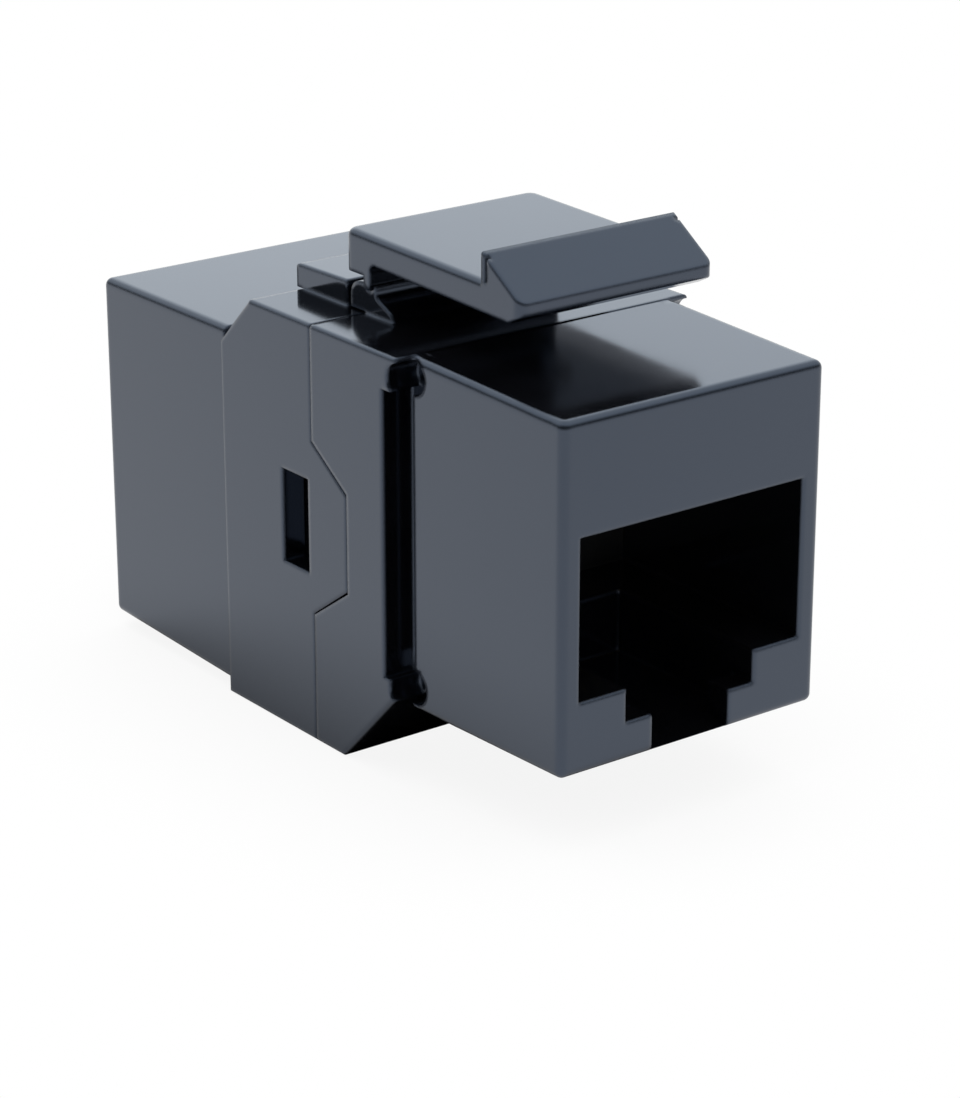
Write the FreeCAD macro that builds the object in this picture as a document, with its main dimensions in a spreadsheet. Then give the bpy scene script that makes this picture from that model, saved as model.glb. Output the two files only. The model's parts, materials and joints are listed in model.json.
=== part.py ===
import FreeCAD, Part
import math
import os
from types import SimpleNamespace

import Sketcher

# Keystone coupler: two snapped housings with a port at each end, a sprung latch on top,
# and inside them a circuit board with a contact carrier and eight spring contacts for each port.
# +Y runs from the front port to the rear port, +Z is up, and the base of the flange band is at z = 0
# with the origin midway along the length and the width. Sizes are in millimetres.

CONTACT_COUNT = 8
QUARTER_TURN = math.pi / 2
STEP_MITER = math.tan(math.pi / 8)
NEAR = 1e-4

SIZES = [
    # Port, seen from outside, with the plug's tab downwards
    ("port_width", 12.4),
    ("port_height", 7.4),
    ("port_floor", 3.35),
    ("port_depth", 12.2),
    ("shoulder_width", 7.2),
    ("shoulder_height", 1.8),
    ("tab_slot_width", 4.4),
    ("tab_chamber_floor", 0.3),
    ("tab_chamber_length", 7.9),
    ("bezel_thickness", 1.4),
    ("port_edge_radius", 0.15),
    # Snout that passes through the panel
    ("snout_wall", 1.05),
    ("snout_roof", 5.25),
    ("snout_length", 10.4),
    ("snout_side_draft", 0.12),
    ("snout_top_draft", 0.33),
    ("snout_bottom_draft", 0.2),
    # Flange band round the middle
    ("flange_overhang", 1.0),
    ("flange_step", 0.04),
    ("flange_drop", 3.75),
    ("flange_length", 13.8),
    ("flange_chamfer", 2.5),
    ("slant_depth", 4.3),
    ("slant_rise", 4.35),
    ("seam_offset", 0.65),
    ("seam_gap", 0.06),
    # Slots in the sides of the flange, with a round relief at each end
    ("slot_width", 1.0),
    ("slot_lead", 0.15),
    ("slot_bottom", 1.25),
    ("slot_top", 14.8),
    ("slot_wall", 0.35),
    ("relief_radius", 0.8),
    ("relief_setback", 0.2),
    ("relief_low_drop", 0.35),
    ("relief_high_rise", 0.6),
    # Box behind the flange
    ("box_inset", 0.26),
    ("box_top", 18.2),
    ("box_bottom", 0.45),
    ("box_side_draft", 0.06),
    ("box_top_draft", 0.1),
    ("box_bottom_draft", 0.28),
    # Snap joint between the housings
    ("snap_height", 10.5),
    ("tongue_length", 2.65),
    ("tongue_base_height", 8.3),
    ("tongue_tip_height", 4.6),
    ("tongue_thickness", 1.2),
    ("seam_clearance", 0.08),
    ("window_length", 2.12),
    ("window_height", 4.55),
    ("window_setback", 0.28),
    ("catch_depth", 0.3),
    ("catch_clearance", 0.12),
    ("arm_tail", 0.5),
    # Latch
    ("latch_width", 10.75),
    ("nose_setback", 5.3),
    ("nose_top", 3.43),
    ("nose_bottom", 2.88),
    ("chin_setback", 6.2),
    ("chin_height", 2.43),
    ("barb_setback", 8.0),
    ("barb_height", 5.2),
    ("arm_front_height", 3.9),
    ("arm_rear_height", 4.1),
    ("arm_inner_height", 2.72),
    ("leg_thickness", 1.98),
    ("leg_overhang", 1.35),
    ("leg_foot", 2.17),
    ("hinge_height", 1.38),
    ("hinge_radius", 0.22),
    ("hinge_clearance", 0.05),
    ("slit_setback", 0.2),
    ("slit_width", 0.2),
    ("slit_depth", 0.25),
    # Root of the latch on the front housing
    ("root_width", 10.4),
    ("root_lip", 0.44),
    ("root_shoulder_height", 0.9),
    ("root_toe_reach", 1.79),
    ("root_toe_lean", 0.17),
    ("root_toe_height", 0.35),
    ("root_rear_setback", 0.3),
    ("root_rear_radius", 0.7),
    ("root_shoulder_radius", 0.35),
    ("root_toe_radius", 0.2),
    # Stop pad behind the latch
    ("pad_gap", 0.3),
    ("pad_width", 10.4),
    ("pad_length", 4.0),
    ("pad_front_height", 1.2),
    ("pad_rear_height", 1.1),
    # Contact carrier
    ("carrier_clearance", 0.1),
    ("cavity_step", 0.2),
    ("cavity_floor", 0.2),
    ("cavity_top", 13.6),
    ("carrier_pocket_width", 9.8),
    ("carrier_pocket_height", 2.15),
    ("block_depth", 4.5),
    ("carrier_front", 2.6),
    ("carrier_thickness", 1.65),
    ("groove_width", 0.6),
    ("groove_depth", 0.85),
    ("comb_depth", 0.8),
    ("comb_bottom", 7.2),
    ("tail_run", 0.75),
    ("tail_room", 0.6),
    # Contacts
    ("contact_pitch", 1.02),
    ("contact_width", 0.45),
    ("contact_thickness", 0.35),
    ("contact_gap", 0.06),
    ("bend_setback", 0.1),
    ("bend_radius", 0.76),
    ("arm_drop", 2.25),
    ("row_drop", 2.54),
    ("tail_length", 0.35),
    ("tip_clearance", 0.24),
    # Circuit board
    ("board_thickness", 1.6),
    ("board_edge_clearance", 0.25),
    ("board_hole_radius", 0.3),
    # Rounded edges
    ("snout_edge_radius", 0.38),
    ("band_edge_radius", 0.2),
    ("box_edge_radius", 0.38),
    ("stop_edge_radius", 0.15),
    ("latch_edge_radius", 0.12),
    ("latch_top_radius", 0.35),
    ("latch_corner_radius", 0.6),
    ("latch_inner_radius", 0.35),
    ("nose_corner_radius", 0.45),
]

doc = FreeCAD.newDocument("keystone_coupler")
sheet = doc.addObject("Spreadsheet::Sheet", "Sizes")


class Size:
    """A length, as its value and as the expression on the sheet that gives it."""

    def __init__(self, value, text):
        self.value = value
        self.text = text

    def __add__(self, other):
        other = as_size(other)
        return Size(self.value + other.value, f"({self.text} + {other.text})")

    def __sub__(self, other):
        other = as_size(other)
        return Size(self.value - other.value, f"({self.text} - {other.text})")

    def __mul__(self, factor):
        return Size(self.value * factor, f"({self.text} * {factor})")

    def __truediv__(self, divisor):
        return Size(self.value / divisor, f"({self.text} / {divisor})")

    def __neg__(self):
        return Size(-self.value, f"(-{self.text})")


def as_size(length):
    """The length itself if it is a Size, or a plain number made into one."""
    return length if isinstance(length, Size) else Size(float(length), f"({length})")


def fill_sheet():
    """Writes the driving dimensions to the sheet and returns them by name."""
    named = {}
    for row, (alias, value) in enumerate(SIZES, start=1):
        sheet.set(f"A{row}", alias)
        sheet.set(f"B{row}", str(value))
        sheet.setAlias(f"B{row}", alias)
        named[alias] = Size(value, f"Sizes.{alias}")
    doc.recompute()
    return SimpleNamespace(**named)


s = fill_sheet()
ZERO = as_size(0)

# Places along the length, from the front face at -y to the rear face at +y
half_length = s.port_depth + s.block_depth + s.board_thickness / 2
front_face = -half_length
bezel_back = front_face + s.bezel_thickness
port_end = front_face + s.port_depth
board_front = -(s.board_thickness / 2)
flange_front = front_face + s.snout_length
flange_rear = flange_front + s.flange_length
seam = -s.seam_offset
front_seam = seam - s.seam_gap
leg_rear = seam + s.leg_overhang
leg_front = leg_rear - s.leg_thickness
root_rear = leg_rear - s.root_rear_setback

# Heights above the base, and half widths
snout_base = s.flange_drop
port_bottom = snout_base + s.port_floor
port_roof = port_bottom + s.port_height
snout_top = port_roof + s.snout_roof
snout_root_top = snout_top + s.snout_top_draft
flange_top = snout_root_top + s.flange_step
cavity_bottom = snout_base + s.cavity_floor
cavity_roof = snout_base + s.cavity_top
half_port = s.port_width / 2
half_snout = half_port + s.snout_wall
half_flange = half_snout + s.flange_overhang
half_box = half_flange - s.box_inset
half_cavity = half_port + s.cavity_step
tongue_inside = half_flange - s.tongue_thickness

# Contact heights: the upper run lies in the grooves of the carrier, the arm slopes down below it
carrier_bottom = port_roof + s.carrier_clearance
groove_floor = carrier_bottom + s.carrier_thickness - s.groove_depth
run_height = groove_floor + s.contact_gap + s.contact_thickness / 2
arm_height = run_height - s.bend_radius * 2
lower_row = run_height - s.row_drop

# Hinge line of the latch, in the thin neck under the front of its leg
hinge_y = leg_front + s.hinge_radius
hinge_z = flange_top + s.hinge_height


def set_size(feature, name, length):
    """Binds one property of a feature to the sheet."""
    setattr(feature, name, length.value)
    feature.setExpression(name, length.text)


def new_body(label):
    body = doc.addObject("PartDesign::Body", label)
    body.Label = label
    return body


def new_sketch(body, name, plane, offset=ZERO):
    """A sketch on one of the body's origin planes, moved along that plane's normal by the offset."""
    sketch = body.newObject("Sketcher::SketchObject", name)
    support = next(item for item in body.Origin.OriginFeatures if item.Role == plane)
    sketch.AttachmentSupport = (support, [""])
    sketch.MapMode = "FlatFace"
    sketch.AttachmentOffset = FreeCAD.Placement(FreeCAD.Vector(0, 0, offset.value), FreeCAD.Rotation())
    sketch.setExpression("AttachmentOffset.Base.z", offset.text)
    return sketch


def hold_point(sketch, geometry, position, place):
    """Ties a point of the sketch to its two distances from the sketch's origin."""
    for kind, distance in zip(("DistanceX", "DistanceY"), place):
        index = sketch.addConstraint(Sketcher.Constraint(kind, -1, 1, geometry, position, distance.value))
        sketch.setExpression(f"Constraints[{index}]", distance.text)


def add_outline(sketch, points):
    """A closed outline of straight lines through the points."""
    places = [FreeCAD.Vector(across.value, up.value, 0) for across, up in points]
    lines = []
    for start, end in zip(places, places[1:] + places[:1]):
        lines.append(sketch.addGeometry(Part.LineSegment(start, end)))
    for line, following in zip(lines, lines[1:] + lines[:1]):
        sketch.addConstraint(Sketcher.Constraint("Coincident", line, 2, following, 1))
    for line, place in zip(lines, points):
        hold_point(sketch, line, 1, place)


def add_circle(sketch, centre, radius):
    middle = FreeCAD.Vector(centre[0].value, centre[1].value, 0)
    circle = sketch.addGeometry(Part.Circle(middle, FreeCAD.Vector(0, 0, 1), radius.value))
    hold_point(sketch, circle, 3, centre)
    index = sketch.addConstraint(Sketcher.Constraint("Radius", circle, radius.value))
    sketch.setExpression(f"Constraints[{index}]", radius.text)


def rectangle(left, right, bottom, top):
    return [(left, bottom), (right, bottom), (right, top), (left, top)]


def outline(body, name, plane, points, offset=ZERO):
    sketch = new_sketch(body, name, plane, offset)
    add_outline(sketch, points)
    return sketch


def pad_across(body, sketch, width):
    """Pads a side profile symmetrically to the given width along X."""
    pad = body.newObject("PartDesign::Pad", sketch.Name + "_pad")
    pad.Profile = sketch
    pad.SideType = "Symmetric"
    set_size(pad, "Length", width)
    doc.recompute()
    return pad


def extrude(body, kind, sketch, length, reverse):
    """A Pad or Pocket of the sketch to one side."""
    feature = body.newObject("PartDesign::" + kind, sketch.Name + "_" + kind.lower())
    feature.Profile = sketch
    feature.Reversed = reverse
    volume = body.Shape.Volume
    set_size(feature, "Length", length)
    doc.recompute()
    grown = feature.Shape.Volume - volume
    if grown * (1 if kind == "Pad" else -1) <= 0:
        raise RuntimeError(f"{feature.Name} changes nothing")
    return feature


def pocket_back(body, name, points, start, end):
    """Cuts a front-view outline from one depth to another, both along +Y."""
    sketch = outline(body, name, "XZ_Plane", points, -start)
    return extrude(body, "Pocket", sketch, end - start, False)


def pocket_across(body, sketch, width):
    """Cuts a side profile symmetrically to the given width along X."""
    pocket = body.newObject("PartDesign::Pocket", sketch.Name + "_pocket")
    pocket.Profile = sketch
    pocket.SideType = "Symmetric"
    set_size(pocket, "Length", width)
    doc.recompute()
    return pocket


def mirror(body, originals, name):
    """Repeats features on the other side of the YZ plane."""
    mirrored = body.newObject("PartDesign::Mirrored", name)
    mirrored.Originals = originals
    plane = next(item for item in body.Origin.OriginFeatures if item.Role == "YZ_Plane")
    mirrored.MirrorPlane = (plane, [""])
    body.Tip = mirrored
    doc.recompute()
    return mirrored


def repeat_across(body, original, sketch, name):
    """Repeats a feature at the contact pitch along X, starting from the first contact."""
    pattern = body.newObject("PartDesign::LinearPattern", name)
    pattern.Originals = [original]
    pattern.Direction = (sketch, ["H_Axis"])
    pattern.Mode = "Spacing"
    set_size(pattern, "Offset", s.contact_pitch)
    pattern.Occurrences = CONTACT_COUNT
    body.Tip = pattern
    doc.recompute()
    return pattern


def loft_back(body, name, face, face_place, root, root_place):
    """A drafted block between two front-view outlines at two depths."""
    first = outline(body, name + "_face", "XZ_Plane", face, -face_place)
    last = outline(body, name + "_root", "XZ_Plane", root, -root_place)
    loft = body.newObject("PartDesign::AdditiveLoft", name)
    loft.Profile = first
    loft.Sections = [last]
    loft.Ruled = True
    doc.recompute()
    return loft


def round_edges(body, name, radius, wanted):
    """Fillets the edges of the body for which wanted(first end, last end) is true."""
    base = body.Tip
    names = []
    for number, edge in enumerate(base.Shape.Edges, start=1):
        if wanted(edge.Vertexes[0].Point, edge.Vertexes[-1].Point):
            names.append(f"Edge{number}")
    if not names:
        raise RuntimeError(f"{name} finds no edge")
    fillet = body.newObject("PartDesign::Fillet", name)
    fillet.Base = (base, names)
    set_size(fillet, "Radius", radius)
    doc.recompute()
    return fillet


def near(value, size):
    return abs(value - as_size(size).value) < NEAR


def along_x(first, last):
    return near(first.y, last.y) and near(first.z, last.z)


def line_at(along, up):
    """Picks the edges along X at one place in the side view."""

    def wanted(first, last):
        return along_x(first, last) and near(first.y, along) and near(first.z, up)

    return wanted


def before(place):
    """Picks the edges that reach out in front of a place along the length."""

    def wanted(first, last):
        return min(first.y, last.y) < place.value - NEAR

    return wanted


def band_side(*sharp):
    """Picks the edges of the flange band's two sides, apart from the upright ones at the sharp places."""

    def wanted(first, last):
        on_side = near(first.x, last.x) and near(abs(first.x), half_flange)
        upright = any(near(first.y, place) and near(last.y, place) for place in sharp)
        return on_side and not upright

    return wanted


def port_rim(first, last):
    """True for the edges of the port on the front face, apart from the sides of the tab slot."""
    in_face = near(first.y, front_face) and near(last.y, front_face)
    widest = max(abs(first.x), abs(last.x))
    slot_side = near(first.x, last.x) and near(widest, s.tab_slot_width / 2)
    return in_face and widest < half_port.value + NEAR and not slot_side


def cut_port(body, inner_end):
    """Cuts a port that faces -Y, with its tab chamber, and the cavity behind it up to the inner end."""
    half_tab = s.tab_slot_width / 2
    half_shoulder = s.shoulder_width / 2
    shoulder = snout_base + s.shoulder_height
    below = snout_base - s.snout_bottom_draft
    chamber_floor = snout_base + s.tab_chamber_floor
    steps = [
        (half_tab, below),
        (half_tab, shoulder),
        (half_shoulder, shoulder),
        (half_shoulder, port_bottom),
        (half_port, port_bottom),
        (half_port, port_roof),
    ]
    opening = steps + [(-across, up) for across, up in reversed(steps)]
    pocket_back(body, "opening", opening, front_face, bezel_back)
    round_edges(body, "port_edges", s.port_edge_radius, port_rim)
    inside = rectangle(-half_port, half_port, port_bottom, port_roof)
    pocket_back(body, "port", inside, bezel_back, port_end)
    tab_chamber = rectangle(-half_shoulder, half_shoulder, chamber_floor, port_bottom)
    pocket_back(body, "tab_chamber", tab_chamber, bezel_back, bezel_back + s.tab_chamber_length)
    half_pocket = s.carrier_pocket_width / 2
    roof_pocket = rectangle(-half_pocket, half_pocket, port_roof, port_roof + s.carrier_pocket_height)
    pocket_back(body, "carrier_pocket", roof_pocket, bezel_back, port_end)
    cavity = rectangle(-half_cavity, half_cavity, cavity_bottom, cavity_roof)
    pocket_back(body, "cavity", cavity, port_end, inner_end)


def snap_trapezium(clearance):
    """Side view of the tongue, grown by the clearance."""
    middle = s.snap_height
    base = s.tongue_base_height / 2 + clearance
    tip = s.tongue_tip_height / 2 + clearance
    tip_y = seam - s.tongue_length - clearance
    return [(seam, middle - base), (tip_y, middle - tip), (tip_y, middle + tip), (seam, middle + base)]


def front_housing():
    body = new_body("front_housing")
    wide = half_snout + s.snout_side_draft
    face = rectangle(-half_snout, half_snout, snout_base, snout_top)
    root = rectangle(-wide, wide, snout_base - s.snout_bottom_draft, snout_root_top)
    band = [
        (flange_front, s.slant_rise),
        (flange_front, flange_top),
        (front_seam, flange_top),
        (front_seam, ZERO),
        (flange_front + s.slant_depth, ZERO),
    ]
    pad_across(body, outline(body, "band", "YZ_Plane", band), half_flange * 2)
    loft_back(body, "snout", face, front_face, root, flange_front)
    round_edges(body, "snout_edges", s.snout_edge_radius, before(flange_front))
    round_edges(body, "band_edges", s.band_edge_radius, band_side(front_seam, flange_front))
    latch_root(body)
    cut_port(body, seam)
    side_slots(body)
    recess_inside = tongue_inside - s.seam_clearance
    recess = outline(body, "recess", "YZ_Plane", snap_trapezium(s.seam_clearance), recess_inside)
    cut = extrude(body, "Pocket", recess, s.tongue_thickness + s.seam_clearance, True)
    mirror(body, [cut], "recesses")
    snap_arms(body)
    return body


def latch_root(body):
    """The lump that carries the latch: a sloping shoulder in front, a trough on top, and a round back
    that reaches over the rear housing."""
    toe = hinge_y - s.root_toe_reach
    lip = hinge_y - s.root_lip
    shoulder = flange_top + s.root_shoulder_height
    toe_top = flange_top + s.root_toe_height
    underside = flange_top + s.seam_clearance
    profile = [
        (toe, flange_top),
        (toe + s.root_toe_lean, toe_top),
        (lip, shoulder),
        (lip, hinge_z),
        (root_rear, hinge_z),
        (root_rear, underside),
        (front_seam, underside),
        (front_seam, flange_top),
    ]
    pad_across(body, outline(body, "root", "YZ_Plane", profile), s.root_width)
    for name, radius, along, up in (
        ("root_back", s.root_rear_radius, root_rear, hinge_z),
        ("root_shoulder", s.root_shoulder_radius, lip, shoulder),
        ("root_toe", s.root_toe_radius, toe + s.root_toe_lean, toe_top),
    ):
        round_edges(body, name, radius, line_at(along, up))
    trough = new_sketch(body, "trough", "YZ_Plane")
    add_circle(trough, (hinge_y, hinge_z), s.hinge_radius + s.hinge_clearance)
    pocket_across(body, trough, half_flange * 2)


def side_slots(body):
    """The slot in each side at the front of the flange, with a round relief at either end."""
    depth = half_flange - half_port - s.slot_wall
    floor = half_port + s.slot_wall
    bottom = snout_base + s.slot_bottom
    top = snout_base + s.slot_top
    slot = rectangle(flange_front - s.slot_lead, flange_front + s.slot_width, bottom, top)
    cuts = [extrude(body, "Pocket", outline(body, "slot", "YZ_Plane", slot, floor), depth, True)]
    relief_place = flange_front - s.relief_setback
    low = (relief_place, bottom - s.relief_low_drop)
    high = (relief_place, top + s.relief_high_rise)
    for name, centre in (("relief_low", low), ("relief_high", high)):
        relief = new_sketch(body, name, "YZ_Plane", floor)
        add_circle(relief, centre, s.relief_radius)
        cuts.append(extrude(body, "Pocket", relief, depth, True))
    mirror(body, cuts, "slots")


def snap_arms(body):
    """A barbed arm on each side, which reaches into the rear housing and fills its window."""
    outside = tongue_inside - s.seam_clearance
    window_front = seam + s.window_setback
    catch_front = window_front + s.catch_clearance
    catch_rear = window_front + s.window_length - s.catch_clearance
    half_arm = s.window_height / 2 - s.catch_clearance
    shank = rectangle(port_end, catch_rear + s.arm_tail, s.snap_height - half_arm, s.snap_height + half_arm)
    arm = outline(body, "arm", "YZ_Plane", shank, half_cavity)
    arm_pad = extrude(body, "Pad", arm, outside - half_cavity, False)
    wedge = [(outside, catch_front), (outside + s.catch_depth, catch_front), (outside, catch_rear)]
    catch = outline(body, "catch", "XY_Plane", wedge, s.snap_height - half_arm)
    catch_pad = extrude(body, "Pad", catch, half_arm * 2, False)
    mirror(body, [arm_pad, catch_pad], "arms")


def rear_housing():
    """Modelled with its port towards -Y, then turned about Z to face the rear."""
    body = new_body("rear_housing")
    own_seam = -seam
    band_rear = -flange_rear
    band = [
        (own_seam, ZERO),
        (own_seam, flange_top),
        (band_rear + s.flange_chamfer, flange_top),
        (band_rear, flange_top - s.flange_chamfer),
        (band_rear, ZERO),
    ]
    pad_across(body, outline(body, "band", "YZ_Plane", band), half_flange * 2)
    end_half = half_box - s.box_side_draft
    end = rectangle(-end_half, end_half, s.box_bottom + s.box_bottom_draft, s.box_top - s.box_top_draft)
    root = rectangle(-half_box, half_box, s.box_bottom, s.box_top)
    loft_back(body, "box", end, front_face, root, band_rear)
    round_edges(body, "box_edges", s.box_edge_radius, before(band_rear))
    round_edges(body, "band_edges", s.band_edge_radius, band_side(own_seam))
    pad_front = -root_rear - s.pad_gap
    stop = [
        (pad_front, flange_top),
        (pad_front, flange_top + s.pad_front_height),
        (pad_front - s.pad_length, flange_top + s.pad_rear_height),
        (pad_front - s.pad_length, flange_top),
    ]
    pad_across(body, outline(body, "stop", "YZ_Plane", stop), s.pad_width)

    def stop_edge(first, last):
        return min(first.z, last.z) > flange_top.value + NEAR

    round_edges(body, "stop_edges", s.stop_edge_radius, stop_edge)
    cut_port(body, own_seam)
    tongue = [(-along, up) for along, up in snap_trapezium(ZERO)]
    tongue_sketch = outline(body, "tongue", "YZ_Plane", tongue, tongue_inside)
    tongue_pad = extrude(body, "Pad", tongue_sketch, s.tongue_thickness, False)
    mirror(body, [tongue_pad], "tongues")
    snap_windows(body, own_seam)
    body.Placement = FreeCAD.Placement(FreeCAD.Vector(), FreeCAD.Rotation(FreeCAD.Vector(0, 0, 1), 180))
    return body


def snap_windows(body, own_seam):
    """Room for the front housing's arms, and the window in each side for its barb."""
    half_window = s.window_height / 2
    window_front = own_seam - s.window_setback
    window_rear = window_front - s.window_length
    room = rectangle(
        window_rear - s.arm_tail - s.catch_clearance,
        own_seam,
        s.snap_height - half_window,
        s.snap_height + half_window,
    )
    room_sketch = outline(body, "arm_room", "YZ_Plane", room, half_cavity)
    room_cut = extrude(body, "Pocket", room_sketch, tongue_inside - half_cavity, True)
    window = rectangle(window_rear, window_front, s.snap_height - half_window, s.snap_height + half_window)
    window_sketch = outline(body, "window", "YZ_Plane", window, half_cavity)
    window_cut = extrude(body, "Pocket", window_sketch, half_flange - half_cavity, True)
    mirror(body, [room_cut, window_cut], "windows")


def keystone_latch():
    """Sprung arm with a ramped barb at its free end, a leg block behind and the thin neck it bends in."""
    body = new_body("keystone_latch")
    nose = front_face + s.nose_setback
    barb = front_face + s.barb_setback
    chin = front_face + s.chin_setback
    arm_top = snout_top + s.arm_rear_height
    arm_inside = snout_top + s.arm_inner_height
    foot = snout_top + s.leg_foot
    neck_rear = hinge_y + s.hinge_radius
    profile = [
        (nose, snout_top + s.nose_bottom),
        (nose, snout_top + s.nose_top),
        (barb, snout_top + s.barb_height),
        (barb, snout_top + s.arm_front_height),
        (leg_rear, arm_top),
        (leg_rear, foot),
        (neck_rear, foot),
        (neck_rear, hinge_z),
        (leg_front, hinge_z),
        (leg_front, arm_inside),
        (chin, snout_top + s.chin_height),
    ]
    pad_across(body, outline(body, "profile", "YZ_Plane", profile), s.latch_width)
    barrel = new_sketch(body, "barrel", "YZ_Plane")
    add_circle(barrel, (hinge_y, hinge_z), s.hinge_radius)
    pad_across(body, barrel, s.latch_width)

    def nose_outline(first, last):
        on_side = near(first.x, last.x) and near(abs(first.x), s.latch_width / 2)
        return on_side and before(barb)(first, last)

    def nose_corners(first, last):
        return near(first.x, last.x) and near(first.y, nose) and near(last.y, nose)

    def leg_corners(first, last):
        return near(first.x, last.x) and near(first.y, leg_rear) and near(last.y, leg_rear)

    round_edges(body, "nose_corners", s.nose_corner_radius, nose_corners)
    round_edges(body, "nose_outline", s.latch_edge_radius, nose_outline)
    round_edges(body, "leg_corners", s.latch_corner_radius, leg_corners)
    round_edges(body, "arm_outline", s.latch_top_radius, line_at(leg_rear, arm_top))
    round_edges(body, "inner_corner", s.latch_inner_radius, line_at(leg_front, arm_inside))
    barb_slits(body, barb)
    return body


def barb_slits(body, barb):
    """A narrow upright slit in each end of the barb, just in front of its catch face."""
    rear = barb - s.slit_setback
    bottom = snout_top + s.arm_front_height
    slit = rectangle(rear - s.slit_width, rear, bottom, snout_top + s.barb_height)
    sketch = outline(body, "slit", "YZ_Plane", slit, s.latch_width / 2 - s.slit_depth)
    mirror(body, [extrude(body, "Pocket", sketch, s.slit_depth, True)], "slits")


def contact_carrier(label, turn):
    """Insulating insert: a tongue with a groove for each contact and a block that ends the port."""
    body = new_body(label)
    half_block = half_cavity - s.carrier_clearance
    recess_front = board_front - s.row_drop - s.tail_run
    block_top = cavity_roof - s.carrier_clearance
    block_bottom = cavity_bottom + s.carrier_clearance
    block = rectangle(port_end, board_front, block_bottom, block_top)
    pad_across(body, outline(body, "block", "YZ_Plane", block), half_block * 2)
    slab_top = carrier_bottom + s.carrier_thickness
    slab = rectangle(front_face + s.carrier_front, port_end, carrier_bottom, slab_top)
    slab_width = s.carrier_pocket_width - s.carrier_clearance * 2
    pad_across(body, outline(body, "slab", "YZ_Plane", slab), slab_width)
    tails = rectangle(recess_front, board_front, lower_row - s.tail_room, block_top)
    pocket_across(body, outline(body, "tails", "YZ_Plane", tails), s.contact_pitch * CONTACT_COUNT)
    first = -(s.contact_pitch * ((CONTACT_COUNT - 1) / 2))
    half_groove = s.groove_width / 2
    groove_points = rectangle(first - half_groove, first + half_groove, groove_floor, block_top)
    groove = outline(body, "groove", "XZ_Plane", groove_points, -(front_face + s.carrier_front))
    cut = extrude(body, "Pocket", groove, recess_front - front_face - s.carrier_front, False)
    repeat_across(body, cut, groove, "grooves")
    comb_base = snout_base + s.comb_bottom
    comb_points = rectangle(first - half_groove, first + half_groove, comb_base, carrier_bottom)
    comb = outline(body, "comb", "XZ_Plane", comb_points, -port_end)
    cut = extrude(body, "Pocket", comb, s.comb_depth, False)
    repeat_across(body, cut, comb, "combs")
    body.Placement = FreeCAD.Placement(FreeCAD.Vector(), FreeCAD.Rotation(FreeCAD.Vector(0, 0, 1), turn))
    return body


def circuit_board():
    """Upright board with two rows of holes, which takes the tails of both sets of contacts."""
    body = new_body("circuit_board")
    half_width = half_cavity - s.board_edge_clearance
    bottom = cavity_bottom + s.board_edge_clearance
    top = cavity_roof - s.board_edge_clearance
    plate = rectangle(board_front, -board_front, bottom, top)
    pad_across(body, outline(body, "plate", "YZ_Plane", plate), half_width * 2)
    first = -(s.contact_pitch * ((CONTACT_COUNT - 1) / 2))
    holes = new_sketch(body, "holes", "XZ_Plane", -board_front)
    for height in (run_height, lower_row):
        add_circle(holes, (first, height), s.board_hole_radius)
    cut = extrude(body, "Pocket", holes, s.board_thickness, False)
    repeat_across(body, cut, holes, "hole_rows")
    return body


def contact(label, number, turn):
    """One formed spring contact; the tails of the even ones step down to the lower row."""
    body = new_body(label)
    half = s.contact_thickness / 2
    bend_y = front_face + s.carrier_front - s.bend_setback
    bend_z = run_height - s.bend_radius
    tip_y = port_end + s.comb_depth - s.tip_clearance
    tip_z = arm_height - s.arm_drop
    tail_end = -board_front + s.tail_length
    step_start = board_front - s.row_drop - s.tail_run / 2
    step_end = step_start + s.row_drop
    straight = number % 2 == 1
    tail_z = run_height if straight else lower_row
    upper = [(bend_y, run_height + half)]
    lower = [(bend_y, run_height - half)]
    if not straight:
        miter = half * STEP_MITER
        upper += [(step_start + miter, run_height + half), (step_end + miter, tail_z + half)]
        lower += [(step_start - miter, run_height - half), (step_end - miter, tail_z - half)]
    upper += [(tail_end, tail_z + half)]
    lower += [(tail_end, tail_z - half)]
    run = outline(body, "run", "YZ_Plane", upper + lower[::-1])
    pad_across(body, run, s.contact_width)
    arm = [
        (bend_y, arm_height - half),
        (tip_y, tip_z - half),
        (tip_y, tip_z + half),
        (bend_y, arm_height + half),
    ]
    pad_across(body, outline(body, "arm", "YZ_Plane", arm), s.contact_width)
    bend = new_sketch(body, "bend", "YZ_Plane")
    add_half_ring(bend, (bend_y, bend_z), s.bend_radius - half, s.bend_radius + half)
    pad_across(body, bend, s.contact_width)
    place = s.contact_pitch * (number - (CONTACT_COUNT + 1) / 2)
    side = place if turn == 0 else -place
    rotation = FreeCAD.Rotation(FreeCAD.Vector(0, 0, 1), turn)
    body.Placement = FreeCAD.Placement(FreeCAD.Vector(side.value, 0, 0), rotation)
    body.setExpression("Placement.Base.x", side.text)
    return body


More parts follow.
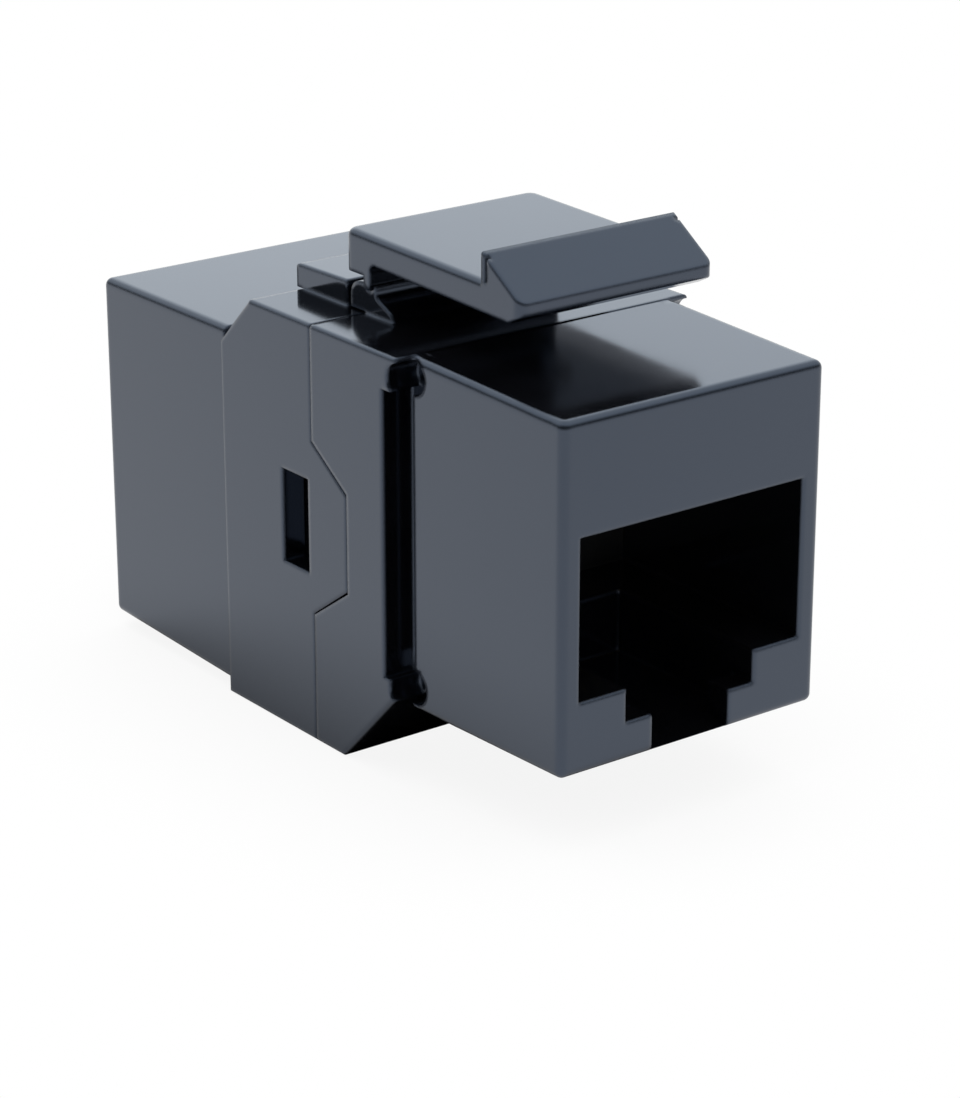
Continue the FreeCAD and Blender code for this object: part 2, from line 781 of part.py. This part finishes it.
def add_half_ring(sketch, centre, inner, outer):
    """Half a ring on the -Y side of its centre, open towards +Y."""
    across, up = centre
    middle = FreeCAD.Vector(across.value, up.value, 0)
    arcs = []
    for radius in (inner, outer):
        circle = Part.Circle(middle, FreeCAD.Vector(0, 0, 1), radius.value)
        arc = sketch.addGeometry(Part.ArcOfCircle(circle, QUARTER_TURN, 3 * QUARTER_TURN))
        hold_point(sketch, arc, 1, (across, up + radius))
        index = sketch.addConstraint(Sketcher.Constraint("DistanceY", -1, 1, arc, 2, (up - radius).value))
        sketch.setExpression(f"Constraints[{index}]", (up - radius).text)
        index = sketch.addConstraint(Sketcher.Constraint("DistanceX", -1, 1, arc, 2, across.value))
        sketch.setExpression(f"Constraints[{index}]", across.text)
        index = sketch.addConstraint(Sketcher.Constraint("DistanceX", -1, 1, arc, 3, across.value))
        sketch.setExpression(f"Constraints[{index}]", across.text)
        arcs.append(arc)
    for position, sign in ((1, 1), (2, -1)):
        start = FreeCAD.Vector(across.value, up.value + sign * inner.value, 0)
        end = FreeCAD.Vector(across.value, up.value + sign * outer.value, 0)
        line = sketch.addGeometry(Part.LineSegment(start, end))
        sketch.addConstraint(Sketcher.Constraint("Coincident", line, 1, arcs[0], position))
        sketch.addConstraint(Sketcher.Constraint("Coincident", line, 2, arcs[1], position))


def build_all():
    parts = [front_housing(), rear_housing(), keystone_latch(), circuit_board()]
    for end, turn in (("front", 0), ("rear", 180)):
        parts.append(contact_carrier(f"{end}_contact_carrier", turn))
        for number in range(1, CONTACT_COUNT + 1):
            parts.append(contact(f"{end}_contact_{number}", number, turn))
    return parts


def export_all(parts):
    """Checks every object and every solid, then writes one file for each sub-part."""
    doc.recompute()
    for item in doc.Objects:
        if "Invalid" in item.State or "Error" in item.State:
            raise RuntimeError(f"{item.Name} failed: {item.State}")
    for part in parts:
        if part.Shape.isNull() or not part.Shape.isValid() or len(part.Shape.Solids) != 1:
            raise RuntimeError(f"{part.Label} is not one valid solid")
    os.makedirs("parts", exist_ok=True)
    for part in parts:
        part.Shape.exportStep(f"parts/{part.Label}.step")


export_all(build_all())
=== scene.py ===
import json
import math

import bpy
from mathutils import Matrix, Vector


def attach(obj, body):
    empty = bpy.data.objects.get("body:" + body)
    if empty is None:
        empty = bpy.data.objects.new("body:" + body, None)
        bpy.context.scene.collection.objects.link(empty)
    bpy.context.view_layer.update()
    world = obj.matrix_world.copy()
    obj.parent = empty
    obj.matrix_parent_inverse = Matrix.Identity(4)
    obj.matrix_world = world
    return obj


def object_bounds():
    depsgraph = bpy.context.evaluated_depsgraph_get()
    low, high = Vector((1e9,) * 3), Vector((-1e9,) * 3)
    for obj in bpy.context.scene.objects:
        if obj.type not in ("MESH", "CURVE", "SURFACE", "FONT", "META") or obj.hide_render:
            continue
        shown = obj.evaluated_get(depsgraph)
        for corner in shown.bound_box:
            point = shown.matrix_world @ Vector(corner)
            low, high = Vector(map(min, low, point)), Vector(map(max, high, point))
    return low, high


# Keystone coupler on a white studio floor: glossy black moulded housings and latch around a circuit board,
# two contact carriers and two sets of gold contacts. Lengths are in metres.

MM = 0.001

# Camera, from the photograph's vanishing lines
CAMERA_PLACE = Vector((-89.11 * MM, -119.62 * MM, 63.58 * MM))
CAMERA_AZIMUTH = math.radians(37.23)
CAMERA_ELEVATION = math.radians(20.63)
CAMERA_LENS = 110.82
CAMERA_SENSOR = 36.0
CAMERA_NEAR = 0.005
CAMERA_FAR = 10.0

# Studio
FLOOR_HALF = 3.0
FLOOR_COLOUR = (0.86, 0.86, 0.86, 1.0)
CONTACT_SHADOW_REACH = 18.0 * MM
CONTACT_SHADOW_SHOWN = 0.1
CONTACT_SHADOW_DEEP = 0.15
CONTACT_SHADOW_OPEN = 0.95
CONTACT_SHADOW_SAMPLES = 24
HORIZON_WHITE = 0.05
HORIZON_GONE = 0.2
OVERHEAD_DIRECTION = (0.3, 0.35, 0.89)
OVERHEAD_EDGE = 0.31
OVERHEAD_CORE = 0.66
OVERHEAD_LEVEL = 1.12
CEILING_LEVEL = 0.14
SOFTBOX_DIRECTION = (0.566, 0.745, 0.4)
SOFTBOX_DISTANCE = 1.2
SOFTBOX_SIZE = 1.0
SOFTBOX_LEVEL = 0.38
LIGHT_COLOUR = (0.89, 0.95, 1.0, 1.0)
WHITE = (1.0, 1.0, 1.0, 1.0)

# Moulding: how wide the light rolls over an edge, how deep the relief is, and how the surface shines
HOUSING_EDGE = 0.28 * MM
CARRIER_EDGE = 0.06 * MM
SILL_EDGE = 0.0
EDGE_SAMPLES = 6
HOUSING_RELIEF = 0.004 * MM
CARRIER_RELIEF = 0.006 * MM
HOUSING_IOR = 1.9
HOUSING_TINT = (0.63, 0.76, 1.0, 1.0)
CARRIER_IOR = 1.5

# Marks in the surfaces, in repeats for each metre, and the usual range of a noise value
FLOW_MARKS = 260.0
FINE_GRAIN = 9000.0
SLOW_RIPPLE = 150.0
DRAW_LINES = (9000.0, 300.0, 3000.0)
DRAW_LINE_DEPTH = 0.0005 * MM
GLASS_WEAVE = 2600.0
GLASS_WEAVE_DEPTH = 0.01 * MM
NOISE_LOW = 0.3
NOISE_HIGH = 0.7

# Sockets of a Mix node that mixes colours, which share their names with its other kinds
MIX_FACTOR = 0
MIX_FIRST = 6
MIX_SECOND = 7
MIX_RESULT = 2

# Sill that closes the foot of the front port's tab slot, flush with the snout's rounded lower edge
SNOUT_BASE = 3.75 * MM
SNOUT_EDGE_RADIUS = 0.38 * MM
BEZEL_BACK = -16.1 * MM
CHAMBER_FLOOR = 4.05 * MM
SILL_LAP = 0.6 * MM
SILL_RISE = 0.02 * MM
TAB_HALF_WIDTH = 2.2 * MM
SILL_LIP = 0.12 * MM
SILL_ARC_STEPS = 8

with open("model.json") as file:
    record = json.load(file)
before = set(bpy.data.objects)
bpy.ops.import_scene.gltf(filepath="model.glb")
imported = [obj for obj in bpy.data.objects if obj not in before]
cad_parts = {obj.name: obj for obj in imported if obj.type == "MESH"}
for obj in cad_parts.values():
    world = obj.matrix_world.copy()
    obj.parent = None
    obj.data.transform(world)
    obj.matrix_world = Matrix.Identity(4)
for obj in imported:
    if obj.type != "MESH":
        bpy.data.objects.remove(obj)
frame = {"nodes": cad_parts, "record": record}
cad_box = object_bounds()


def new_material(name):
    """A node material with no nodes yet, and its tree."""
    material = bpy.data.materials.new(name)
    material.use_nodes = True
    material.node_tree.nodes.clear()
    return material, material.node_tree


def add_node(tree, kind, inputs=None, **settings):
    """A node with its settings, and each named input set to a value or linked from a socket."""
    node = tree.nodes.new(kind)
    for name, value in settings.items():
        setattr(node, name, value)
    for name, value in (inputs or {}).items():
        socket = node.inputs[name]
        if isinstance(value, bpy.types.NodeSocket):
            tree.links.new(value, socket)
        else:
            socket.default_value = value
    return node


def finish_surface(tree, shader):
    """Leads a shader to the material's output."""
    add_node(tree, "ShaderNodeOutputMaterial", {"Surface": shader.outputs[0]})


def new_group(name, inputs, outputs):
    """A shader node group with named float or colour sockets."""
    group = bpy.data.node_groups.new(name, "ShaderNodeTree")
    for label, kind, value in inputs:
        socket = group.interface.new_socket(label, in_out="INPUT", socket_type=kind)
        socket.default_value = value
    for label, kind in outputs:
        group.interface.new_socket(label, in_out="OUTPUT", socket_type=kind)
    return group


def place_group(tree, group, values):
    """A group placed in a material with values of its own."""
    node = add_node(tree, "ShaderNodeGroup", node_tree=group)
    for name, value in values.items():
        node.inputs[name].default_value = value
    return node


def noise(tree, vector, scale, detail, roughness):
    """A noise texture read at the given vector."""
    values = {"Vector": vector, "Scale": scale, "Detail": detail, "Roughness": roughness}
    return add_node(tree, "ShaderNodeTexNoise", values)


def spread(tree, value, low, high):
    """Maps a noise value from its usual range to the low and high given."""
    values = {
        "Value": value,
        "From Min": NOISE_LOW,
        "From Max": NOISE_HIGH,
        "To Min": low,
        "To Max": high,
    }
    return add_node(tree, "ShaderNodeMapRange", values)


def moulded_surface():
    """Moulded plastic: flow-mark tone, uneven polish, and fine grain over slow ripples."""
    group = new_group(
        "moulded_surface",
        [
            ("Tone", "NodeSocketColor", (0.02, 0.03, 0.05, 1.0)),
            ("Flow tone", "NodeSocketColor", (0.03, 0.04, 0.06, 1.0)),
            ("Polish low", "NodeSocketFloat", 0.1),
            ("Polish high", "NodeSocketFloat", 0.2),
            ("Grain", "NodeSocketFloat", 0.1),
            ("Ripple", "NodeSocketFloat", 1.0),
        ],
        [("Color", "NodeSocketColor"), ("Roughness", "NodeSocketFloat"), ("Height", "NodeSocketFloat")],
    )
    taken = add_node(group, "NodeGroupInput")
    given = add_node(group, "NodeGroupOutput")
    place = add_node(group, "ShaderNodeTexCoord").outputs["Object"]
    flow = noise(group, place, FLOW_MARKS, 3.0, 0.55)
    fine = noise(group, place, FINE_GRAIN, 2.0, 0.6)
    slow = noise(group, place, SLOW_RIPPLE, 1.0, 0.4)
    tone = add_node(group, "ShaderNodeMix", data_type="RGBA")
    flow_share = spread(group, flow.outputs["Fac"], 0.0, 1.0)
    group.links.new(flow_share.outputs["Result"], tone.inputs[MIX_FACTOR])
    group.links.new(taken.outputs["Tone"], tone.inputs[MIX_FIRST])
    group.links.new(taken.outputs["Flow tone"], tone.inputs[MIX_SECOND])
    group.links.new(tone.outputs[MIX_RESULT], given.inputs["Color"])
    polish = spread(group, flow.outputs["Fac"], taken.outputs["Polish low"], taken.outputs["Polish high"])
    group.links.new(polish.outputs["Result"], given.inputs["Roughness"])
    grain = add_node(group, "ShaderNodeMath", operation="MULTIPLY")
    group.links.new(fine.outputs["Fac"], grain.inputs[0])
    group.links.new(taken.outputs["Grain"], grain.inputs[1])
    ripple = add_node(group, "ShaderNodeMath", operation="MULTIPLY_ADD")
    group.links.new(slow.outputs["Fac"], ripple.inputs[0])
    group.links.new(taken.outputs["Ripple"], ripple.inputs[1])
    group.links.new(grain.outputs[0], ripple.inputs[2])
    group.links.new(ripple.outputs[0], given.inputs["Height"])
    return group


def plastic(name, group, values, ior, tint, relief, edge):
    """A moulded plastic: its relief scales the height map, and light rolls over its edges."""
    material, tree = new_material(name)
    rolled = add_node(tree, "ShaderNodeBevel", {"Radius": edge}, samples=EDGE_SAMPLES)
    surface = place_group(tree, group, values)
    bump = add_node(
        tree,
        "ShaderNodeBump",
        {
            "Strength": 1.0,
            "Distance": relief,
            "Height": surface.outputs["Height"],
            "Normal": rolled.outputs["Normal"],
        },
    )
    shader = add_node(
        tree,
        "ShaderNodeBsdfPrincipled",
        {
            "Base Color": surface.outputs["Color"],
            "Roughness": surface.outputs["Roughness"],
            "IOR": ior,
            "Specular Tint": tint,
            "Normal": bump.outputs["Normal"],
        },
    )
    finish_surface(tree, shader)
    return material


def contact_metal():
    """Gold plate on a drawn wire, with fine draw lines along the run."""
    material, tree = new_material("contact_gold")
    place = add_node(tree, "ShaderNodeTexCoord").outputs["Object"]
    stretched = add_node(tree, "ShaderNodeMapping", {"Vector": place, "Scale": DRAW_LINES})
    lines = noise(tree, stretched.outputs["Vector"], 1.0, 2.0, 0.6)
    tone = add_node(tree, "ShaderNodeValToRGB", {"Fac": lines.outputs["Fac"]})
    tone.color_ramp.elements[0].color = (0.72, 0.45, 0.16, 1.0)
    tone.color_ramp.elements[1].color = (0.95, 0.70, 0.32, 1.0)
    polish = spread(tree, lines.outputs["Fac"], 0.18, 0.34)
    bump = add_node(tree, "ShaderNodeBump", {"Distance": DRAW_LINE_DEPTH, "Height": lines.outputs["Fac"]})
    shader = add_node(
        tree,
        "ShaderNodeBsdfPrincipled",
        {
            "Base Color": tone.outputs["Color"],
            "Metallic": 1.0,
            "Roughness": polish.outputs["Result"],
            "Normal": bump.outputs["Normal"],
        },
    )
    finish_surface(tree, shader)
    return material


def board_laminate():
    """Green solder mask over glass cloth, whose weave shows faintly."""
    material, tree = new_material("board_mask")
    place = add_node(tree, "ShaderNodeTexCoord").outputs["Object"]
    weave_scale = {"Vector": place, "Scale": GLASS_WEAVE, "Distortion": 0.6}
    warp = add_node(tree, "ShaderNodeTexWave", weave_scale, bands_direction="X")
    weft = add_node(tree, "ShaderNodeTexWave", weave_scale, bands_direction="Z")
    threads = {0: warp.outputs["Fac"], 1: weft.outputs["Fac"]}
    weave = add_node(tree, "ShaderNodeMath", threads, operation="MULTIPLY")
    tone = add_node(tree, "ShaderNodeValToRGB", {"Fac": weave.outputs[0]})
    tone.color_ramp.elements[0].color = (0.008, 0.075, 0.03, 1.0)
    tone.color_ramp.elements[1].color = (0.02, 0.14, 0.055, 1.0)
    bump = add_node(tree, "ShaderNodeBump", {"Distance": GLASS_WEAVE_DEPTH, "Height": weave.outputs[0]})
    shader = add_node(
        tree,
        "ShaderNodeBsdfPrincipled",
        {"Base Color": tone.outputs["Color"], "Roughness": 0.32, "Normal": bump.outputs["Normal"]},
    )
    finish_surface(tree, shader)
    return material


def housing_gloss(name, moulding, edge):
    """The black gloss of both housings and the latch."""
    values = {
        "Tone": (0.0035, 0.0035, 0.0045, 1.0),
        "Flow tone": (0.0055, 0.0055, 0.007, 1.0),
        "Polish low": 0.09,
        "Polish high": 0.14,
        "Grain": 0.05,
        "Ripple": 1.0,
    }
    return plastic(name, moulding, values, HOUSING_IOR, HOUSING_TINT, HOUSING_RELIEF, edge)


def dress_nodes(moulding):
    """Gives every CAD node the finish of its own material slot."""
    finishes = {
        "housing_plastic": housing_gloss("housing_gloss", moulding, HOUSING_EDGE),
        "carrier_plastic": plastic(
            "carrier_matt",
            moulding,
            {
                "Tone": (0.005, 0.005, 0.006, 1.0),
                "Flow tone": (0.008, 0.008, 0.009, 1.0),
                "Polish low": 0.42,
                "Polish high": 0.6,
                "Grain": 0.8,
                "Ripple": 0.5,
            },
            CARRIER_IOR,
            WHITE,
            CARRIER_RELIEF,
            CARRIER_EDGE,
        ),
        "contact_metal": contact_metal(),
        "board_laminate": board_laminate(),
    }
    for subpart in frame["record"]["subparts"]:
        node = frame["nodes"][subpart["node"]]
        node.data.materials.clear()
        node.data.materials.append(finishes[subpart["material_slot"]])


def tab_sill(moulding):
    """The thin floor under the tab slot: its lip follows the snout's round edge, its back laps the port."""
    snout_front = cad_box[0][1]
    centre_y = snout_front + SNOUT_EDGE_RADIUS
    centre_z = SNOUT_BASE + SNOUT_EDGE_RADIUS
    lip_turn = math.acos(1.0 - SILL_LIP / SNOUT_EDGE_RADIUS)
    profile = []
    for step in range(SILL_ARC_STEPS + 1):
        turn = lip_turn * step / SILL_ARC_STEPS
        reach = SNOUT_EDGE_RADIUS * math.sin(turn)
        drop = SNOUT_EDGE_RADIUS * math.cos(turn)
        profile.append((centre_y - reach, centre_z - drop))
    lap_end = BEZEL_BACK + SILL_LAP
    lap_top = CHAMBER_FLOOR + SILL_RISE
    profile += [(BEZEL_BACK, lap_top), (lap_end, lap_top), (lap_end, SNOUT_BASE)]
    count = len(profile)
    corners = [(side * TAB_HALF_WIDTH, y, z) for side in (-1, 1) for y, z in profile]
    walls = [(at, count + at, count + (at + 1) % count, (at + 1) % count) for at in range(count)]
    ends = [tuple(range(count)), tuple(reversed(range(count, 2 * count)))]
    mesh = bpy.data.meshes.new("front_tab_sill")
    mesh.from_pydata(corners, [], walls + ends)
    mesh.materials.append(housing_gloss("sill_gloss", moulding, SILL_EDGE))
    sill = bpy.data.objects.new("front_tab_sill", mesh)
    bpy.context.scene.collection.objects.link(sill)
    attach(sill, "shell")


def seen_rays(tree):
    """One for rays from the camera and rays that gloss or clear material sends on, else zero."""
    rays = add_node(tree, "ShaderNodeLightPath")
    shiny = add_node(
        tree,
        "ShaderNodeMath",
        {0: rays.outputs["Is Glossy Ray"], 1: rays.outputs["Is Transmission Ray"]},
        operation="MAXIMUM",
    )
    seen = add_node(
        tree,
        "ShaderNodeMath",
        {0: rays.outputs["Is Camera Ray"], 1: shiny.outputs[0]},
        operation="MAXIMUM",
    )
    return seen.outputs[0]


def floor_paper():
    """White paper: white to the eye and in reflections, with a soft shadow where the object stands close."""
    material, tree = new_material("floor_paper")
    paper = add_node(tree, "ShaderNodeBsdfDiffuse", {"Color": FLOOR_COLOUR})
    open_sky = add_node(
        tree,
        "ShaderNodeAmbientOcclusion",
        {"Distance": CONTACT_SHADOW_REACH},
        samples=CONTACT_SHADOW_SAMPLES,
    )
    rays = add_node(tree, "ShaderNodeLightPath")
    darkest = add_node(
        tree,
        "ShaderNodeMapRange",
        {"Value": rays.outputs["Is Camera Ray"], "To Min": 0.0, "To Max": 1.0 - CONTACT_SHADOW_SHOWN},
    )
    shade = add_node(
        tree,
        "ShaderNodeMapRange",
        {
            "Value": open_sky.outputs["AO"],
            "From Min": CONTACT_SHADOW_DEEP,
            "From Max": CONTACT_SHADOW_OPEN,
            "To Min": darkest.outputs["Result"],
            "To Max": 1.0,
        },
        interpolation_type="SMOOTHSTEP",
    )
    white = add_node(tree, "ShaderNodeEmission", {"Color": WHITE, "Strength": shade.outputs["Result"]})
    surface = add_node(
        tree, "ShaderNodeMixShader", {0: seen_rays(tree), 1: paper.outputs[0], 2: white.outputs[0]}
    )
    finish_surface(tree, surface)
    return material


def studio_floor():
    """A wide plain floor at the height of the foot."""
    side = FLOOR_HALF
    corners = [(-side, -side, 0), (side, -side, 0), (side, side, 0), (-side, side, 0)]
    mesh = bpy.data.meshes.new("studio_floor")
    mesh.from_pydata(corners, [], [(0, 1, 2, 3)])
    mesh.materials.append(floor_paper())
    floor = bpy.data.objects.new("studio_floor", mesh)
    bpy.context.scene.collection.objects.link(floor)


def studio_world():
    """A wide soft light overhead, fading to a dim ceiling; the eye sees white, gloss a white horizon."""
    world = bpy.data.worlds.new("studio_world")
    bpy.context.scene.world = world
    world.use_nodes = True
    tree = world.node_tree
    tree.nodes.clear()
    direction = add_node(tree, "ShaderNodeTexCoord").outputs["Generated"]
    toward = add_node(
        tree, "ShaderNodeVectorMath", {0: direction, 1: OVERHEAD_DIRECTION}, operation="DOT_PRODUCT"
    )
    level = add_node(
        tree,
        "ShaderNodeMapRange",
        {
            "Value": toward.outputs["Value"],
            "From Min": OVERHEAD_EDGE,
            "From Max": OVERHEAD_CORE,
            "To Min": CEILING_LEVEL,
            "To Max": OVERHEAD_LEVEL,
        },
        interpolation_type="SMOOTHSTEP",
    )
    light = add_node(
        tree, "ShaderNodeBackground", {"Color": LIGHT_COLOUR, "Strength": level.outputs["Result"]}
    )
    white = add_node(tree, "ShaderNodeBackground", {"Color": WHITE, "Strength": 1.0})
    height = add_node(tree, "ShaderNodeSeparateXYZ", {"Vector": direction}).outputs["Z"]
    horizon = add_node(
        tree,
        "ShaderNodeMapRange",
        {
            "Value": height,
            "From Min": HORIZON_WHITE,
            "From Max": HORIZON_GONE,
            "To Min": 1.0,
            "To Max": 0.0,
        },
        interpolation_type="SMOOTHSTEP",
    )
    low = add_node(
        tree, "ShaderNodeMath", {0: seen_rays(tree), 1: horizon.outputs["Result"]}, operation="MULTIPLY"
    )
    rays = add_node(tree, "ShaderNodeLightPath")
    shown = add_node(
        tree, "ShaderNodeMath", {0: low.outputs[0], 1: rays.outputs["Is Camera Ray"]}, operation="MAXIMUM"
    )
    surface = add_node(
        tree, "ShaderNodeMixShader", {0: shown.outputs[0], 1: light.outputs[0], 2: white.outputs[0]}
    )
    add_node(tree, "ShaderNodeOutputWorld", {"Surface": surface.outputs[0]})


def softbox(name, direction, distance, size, radiance, colour):
    """A square area lamp that faces the object and shines with the given radiance."""
    lamp = bpy.data.lights.new(name, "AREA")
    lamp.shape = "SQUARE"
    lamp.size = size
    lamp.color = colour[:3]
    lamp.energy = radiance * math.pi * size * size
    holder = bpy.data.objects.new(name, lamp)
    toward = Vector(direction).normalized()
    holder.location = toward * distance
    holder.rotation_euler = (-toward).to_track_quat("-Z", "Y").to_euler()
    bpy.context.scene.collection.objects.link(holder)


def studio_camera():
    """The camera at the photograph's place and angle."""
    data = bpy.data.cameras.new("photo_camera")
    data.lens = CAMERA_LENS
    data.sensor_width = CAMERA_SENSOR
    data.clip_start = CAMERA_NEAR
    data.clip_end = CAMERA_FAR
    camera = bpy.data.objects.new("photo_camera", data)
    camera.location = CAMERA_PLACE
    level = math.cos(CAMERA_ELEVATION)
    forward = Vector(
        (
            math.sin(CAMERA_AZIMUTH) * level,
            math.cos(CAMERA_AZIMUTH) * level,
            -math.sin(CAMERA_ELEVATION),
        )
    )
    camera.rotation_euler = forward.to_track_quat("-Z", "Y").to_euler()
    bpy.context.scene.collection.objects.link(camera)
    bpy.context.scene.camera = camera


moulding = moulded_surface()
dress_nodes(moulding)
tab_sill(moulding)
studio_floor()
studio_world()
softbox(
    "back_softbox", SOFTBOX_DIRECTION, SOFTBOX_DISTANCE, SOFTBOX_SIZE, SOFTBOX_LEVEL, LIGHT_COLOUR
)
studio_camera()
bpy.context.scene.view_settings.view_transform = "Standard"
